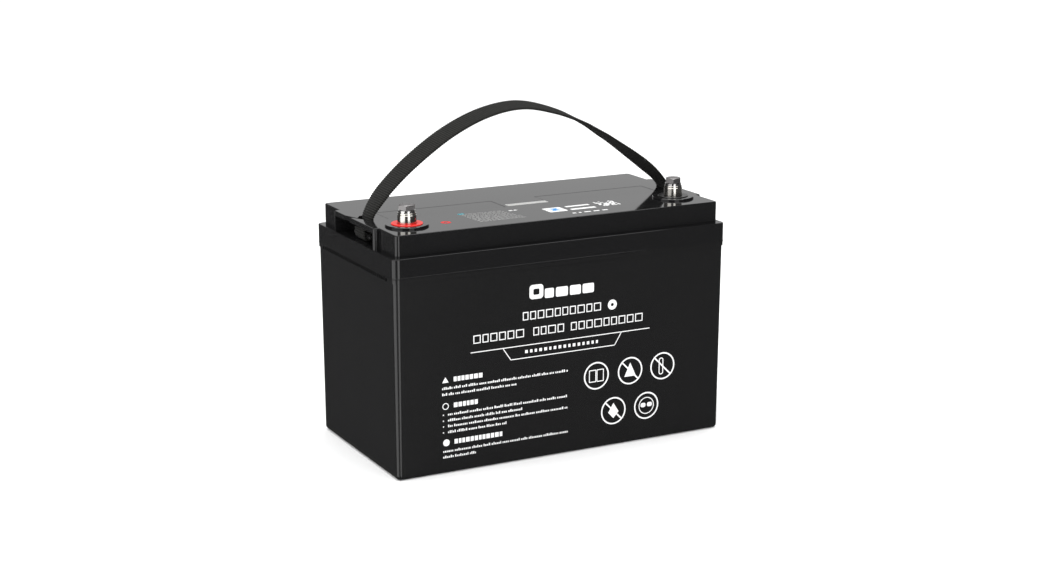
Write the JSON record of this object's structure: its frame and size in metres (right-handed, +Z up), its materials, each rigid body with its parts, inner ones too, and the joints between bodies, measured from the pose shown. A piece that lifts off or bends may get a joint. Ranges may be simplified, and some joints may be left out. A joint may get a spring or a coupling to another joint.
{
  "type": "deep cycle battery",
  "caption": "Sealed lithium deep cycle battery in a black box case with bolted post terminals, an overlapping lid and a webbing carry strap arched over the top",
  "frame": {"origin": "centre of the flat base, on the surface the battery stands on", "axes": "+X along the long side from the positive to the negative terminal, -Y towards the printed front face and the terminals, +Z up"},
  "size_m": [0.33, 0.172, 0.3064],
  "materials": {
    "case_plastic": "satin moulded black",
    "lid_plastic": "glossy moulded black",
    "red_plastic": "glossy red",
    "black_plastic": "black",
    "white_plastic": "white",
    "seal_rubber": "soft black",
    "pad_rubber": "soft black",
    "foam": "closed cell foam",
    "webbing": "ribbed black webbing",
    "nickel": "bright nickel plating",
    "steel": "bright steel",
    "cell_aluminium": "blue film on aluminium",
    "pole_aluminium": "bare aluminium",
    "board_green": "green circuit board",
    "red_rubber": "red insulation",
    "black_rubber": "black insulation"
  },
  "bodies": {
    "housing": {"case": "case_plastic", "lid": "lid_plastic", "lid_seal": "seal_rubber", "left_cover_panel": "lid_plastic", "right_cover_panel": "lid_plastic", "positive_post": "nickel", "negative_post": "nickel", "positive_ring": "red_plastic", "negative_ring": "black_plastic", "post_o_rings": "seal_rubber", "post_nuts": "steel", "strap_loop_left": "webbing", "strap_loop_right": "webbing", "strap_anchor_left": "black_plastic", "strap_anchor_right": "black_plastic", "base_pad": "pad_rubber", "cell_1": "cell_aluminium", "cell_2": "cell_aluminium", "cell_3": "cell_aluminium", "cell_4": "cell_aluminium", "cell_spacers": "black_plastic", "cell_poles": "pole_aluminium", "cell_busbars": "nickel", "busbar_nuts": "steel", "end_plate_left": "cell_aluminium", "end_plate_right": "cell_aluminium", "end_foam_left": "foam", "end_foam_right": "foam", "pack_bands": "steel", "bms_tray": "black_plastic", "bms_board": "board_green", "bms_screws": "steel", "bms_transistors": "black_plastic", "bms_heat_sink": "pole_aluminium", "bms_connector": "white_plastic", "radio_module": "board_green", "thermistor": "black_plastic", "lead_lugs": "nickel", "positive_lead": "red_rubber", "battery_lead": "black_rubber", "negative_lead": "black_rubber"},
    "positive_washers": {"positive_flat_washer": "steel", "positive_spring_washer": "steel"},
    "positive_bolt_body": {"positive_bolt": "steel"},
    "negative_washers": {"negative_flat_washer": "steel", "negative_spring_washer": "steel"},
    "negative_bolt_body": {"negative_bolt": "steel"},
    "strap": {"carry_strap": "webbing"}
  },
  "joints": [
    {"name": "positive_lift", "type": "slide", "parent": "housing", "child": "positive_washers", "axis": [0, 0, 1], "range_m": [0, 0.0135]},
    {"name": "positive_turn", "type": "hinge", "parent": "positive_washers", "child": "positive_bolt_body", "pos_m": [-0.1335, -0.045, 0.2245], "axis": [0, 0, 1], "range_deg": [0, 3888]},
    {"name": "negative_lift", "type": "slide", "parent": "housing", "child": "negative_washers", "axis": [0, 0, 1], "range_m": [0, 0.0135]},
    {"name": "negative_turn", "type": "hinge", "parent": "negative_washers", "child": "negative_bolt_body", "pos_m": [0.1335, -0.045, 0.2245], "axis": [0, 0, 1], "range_deg": [0, 3888]},
    {"name": "strap_lean", "type": "hinge", "parent": "housing", "child": "strap", "pos_m": [0, 0, 0.2278], "axis": [1, 0, 0], "range_deg": [-80, 80]}
  ],
  "couplings": [
    {"joint": "positive_lift", "follows": "positive_turn", "m_per_rad": 0.00019894},
    {"joint": "negative_lift", "follows": "negative_turn", "m_per_rad": 0.00019894}
  ]
}
